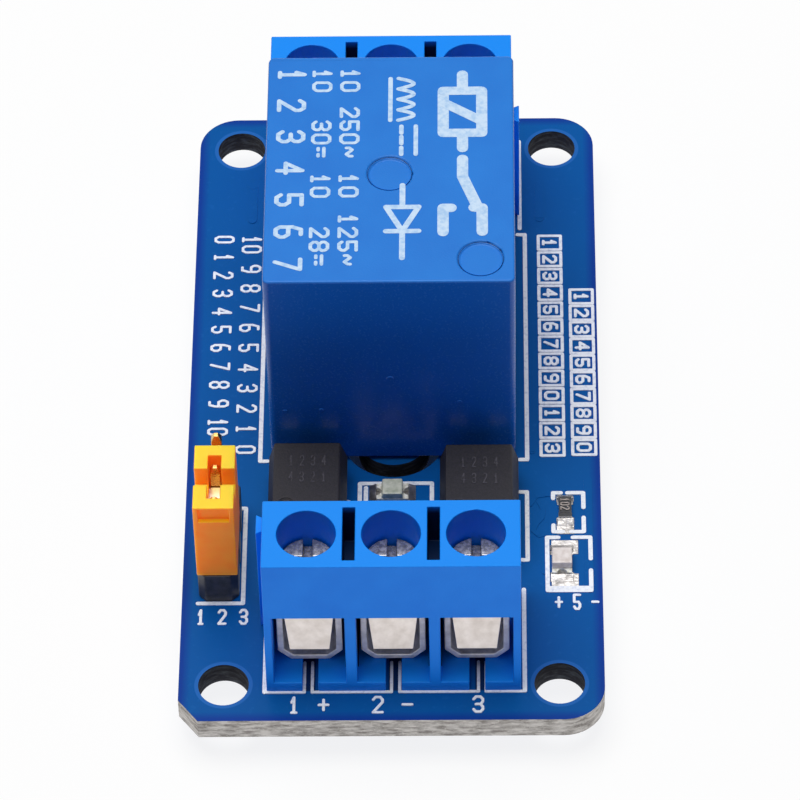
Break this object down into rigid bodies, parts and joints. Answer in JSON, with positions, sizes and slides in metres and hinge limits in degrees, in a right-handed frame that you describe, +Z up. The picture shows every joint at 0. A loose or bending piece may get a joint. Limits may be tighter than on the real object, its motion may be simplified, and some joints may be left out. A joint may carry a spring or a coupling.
{
  "type": "relay module board",
  "caption": "Relay module on a long blue circuit board: cube relay, screw terminal blocks at both ends, jumper header, optocouplers and indicator lights.",
  "frame": {"origin": "under the middle of the board, at the level of the pin tips it rests on", "axes": "+Z up through the board, +Y along the board from the input terminals to the output terminals, +X across it away from the jumper header"},
  "size_m": [0.026, 0.05, 0.0205],
  "materials": {
    "board": "blue solder mask over glass-fibre laminate, bare laminate at the edges",
    "solder": "bright solder",
    "terminal_blue": "satin moulded",
    "tinned_brass": "tin plated sheet",
    "spring_steel": "bright plated sheet",
    "screw_steel": "bright zinc plate",
    "relay_blue": "satin moulded",
    "relay_base_blue": "moulded",
    "bobbin_plastic": "moulded",
    "copper_wire": "enamelled copper wire",
    "soft_iron": "plated soft iron",
    "contact_bronze": "rolled bronze strip",
    "contact_silver": "silver alloy",
    "tinned_wire": "tinned leads",
    "header_black": "moulded",
    "gilt_pin": "gilt square pins",
    "jumper_orange": "moulded",
    "clip_metal": "folded strip",
    "moulding_black": "fine textured moulding",
    "led_carrier": "white laminate carrier",
    "led_lens": "clear cast lens",
    "resistor_ceramic": "glazed ceramic with tinned ends"
  },
  "bodies": {
    "root": {"pcb": "board", "pin_solder": "solder", "chip_solder": "solder", "input_housing": "terminal_blue", "output_housing": "terminal_blue", "input_frame_1": "tinned_brass", "input_frame_2": "tinned_brass", "input_frame_3": "tinned_brass", "output_frame_1": "tinned_brass", "output_frame_2": "tinned_brass", "output_frame_3": "tinned_brass", "relay_case": "relay_blue", "relay_base": "relay_base_blue", "relay_bobbin": "bobbin_plastic", "relay_winding": "copper_wire", "relay_core": "soft_iron", "relay_yoke": "soft_iron", "relay_com_terminal": "contact_bronze", "relay_no_terminal": "contact_bronze", "relay_nc_terminal": "contact_bronze", "relay_coil_pins": "tinned_wire", "header_base": "header_black", "header_pins": "gilt_pin", "opto_left_body": "moulding_black", "opto_left_leads": "tinned_wire", "opto_right_body": "moulding_black", "opto_right_leads": "tinned_wire", "power_led_base": "led_carrier", "power_led_lens": "led_lens", "status_led_base": "led_carrier", "status_led_lens": "led_lens", "chip_resistors": "resistor_ceramic", "transistor_body": "moulding_black", "transistor_leads": "tinned_wire", "diode_body": "moulding_black", "diode_leads": "tinned_wire"},
    "input_guard_1": {"input_guard_1": "spring_steel"},
    "input_screw_1": {"input_screw_1": "screw_steel"},
    "input_guard_2": {"input_guard_2": "spring_steel"},
    "input_screw_2": {"input_screw_2": "screw_steel"},
    "input_guard_3": {"input_guard_3": "spring_steel"},
    "input_screw_3": {"input_screw_3": "screw_steel"},
    "output_guard_1": {"output_guard_1": "spring_steel"},
    "output_screw_1": {"output_screw_1": "screw_steel"},
    "output_guard_2": {"output_guard_2": "spring_steel"},
    "output_screw_2": {"output_screw_2": "screw_steel"},
    "output_guard_3": {"output_guard_3": "spring_steel"},
    "output_screw_3": {"output_screw_3": "screw_steel"},
    "jumper": {"jumper_cap": "jumper_orange", "jumper_clip": "clip_metal"},
    "armature": {"relay_armature": "soft_iron", "relay_contact_spring": "contact_bronze", "relay_moving_contact": "contact_silver"}
  },
  "joints": [
    {"name": "input_guard_1_lift", "type": "slide", "parent": "root", "child": "input_guard_1", "axis": [0, 0, 1], "range_m": [-0.0011, 0.0004]},
    {"name": "input_screw_1_turn", "type": "hinge", "parent": "input_guard_1", "child": "input_screw_1", "pos_m": [-0.00493, -0.0194, 0.0111], "axis": [0, 0, 1], "range_deg": [-880.2, 320.2]},
    {"name": "input_guard_2_lift", "type": "slide", "parent": "root", "child": "input_guard_2", "axis": [0, 0, 1], "range_m": [-0.0011, 0.0004]},
    {"name": "input_screw_2_turn", "type": "hinge", "parent": "input_guard_2", "child": "input_screw_2", "pos_m": [0.00015, -0.0194, 0.0111], "axis": [0, 0, 1], "range_deg": [-880.2, 320.2]},
    {"name": "input_guard_3_lift", "type": "slide", "parent": "root", "child": "input_guard_3", "axis": [0, 0, 1], "range_m": [-0.0011, 0.0004]},
    {"name": "input_screw_3_turn", "type": "hinge", "parent": "input_guard_3", "child": "input_screw_3", "pos_m": [0.00523, -0.0194, 0.0111], "axis": [0, 0, 1], "range_deg": [-880.2, 320.2]},
    {"name": "output_guard_1_lift", "type": "slide", "parent": "root", "child": "output_guard_1", "axis": [0, 0, 1], "range_m": [-0.0011, 0.0004]},
    {"name": "output_screw_1_turn", "type": "hinge", "parent": "output_guard_1", "child": "output_screw_1", "pos_m": [0.00493, 0.0194, 0.0111], "axis": [0, 0, 1], "range_deg": [-880.2, 320.2]},
    {"name": "output_guard_2_lift", "type": "slide", "parent": "root", "child": "output_guard_2", "axis": [0, 0, 1], "range_m": [-0.0011, 0.0004]},
    {"name": "output_screw_2_turn", "type": "hinge", "parent": "output_guard_2", "child": "output_screw_2", "pos_m": [-0.00015, 0.0194, 0.0111], "axis": [0, 0, 1], "range_deg": [-880.2, 320.2]},
    {"name": "output_guard_3_lift", "type": "slide", "parent": "root", "child": "output_guard_3", "axis": [0, 0, 1], "range_m": [-0.0011, 0.0004]},
    {"name": "output_screw_3_turn", "type": "hinge", "parent": "output_guard_3", "child": "output_screw_3", "pos_m": [-0.00523, 0.0194, 0.0111], "axis": [0, 0, 1], "range_deg": [-880.2, 320.2]},
    {"name": "jumper_pull", "type": "slide", "parent": "root", "child": "jumper", "axis": [0, 0, 1], "range_m": [0, 0.0062]},
    {"name": "armature_close", "type": "hinge", "parent": "root", "child": "armature", "pos_m": [0, -0.00236, 0.01603], "axis": [-1, 0, 0], "range_deg": [0, 3.5], "stiffness_Nm_per_rad": 0.004, "springref_deg": -8.59}
  ],
  "couplings": [
    {"joint": "input_screw_1_turn", "follows": "input_guard_1_lift", "rad_per_m": 13963},
    {"joint": "input_screw_2_turn", "follows": "input_guard_2_lift", "rad_per_m": 13963},
    {"joint": "input_screw_3_turn", "follows": "input_guard_3_lift", "rad_per_m": 13963},
    {"joint": "output_screw_1_turn", "follows": "output_guard_1_lift", "rad_per_m": 13963},
    {"joint": "output_screw_2_turn", "follows": "output_guard_2_lift", "rad_per_m": 13963},
    {"joint": "output_screw_3_turn", "follows": "output_guard_3_lift", "rad_per_m": 13963}
  ]
}
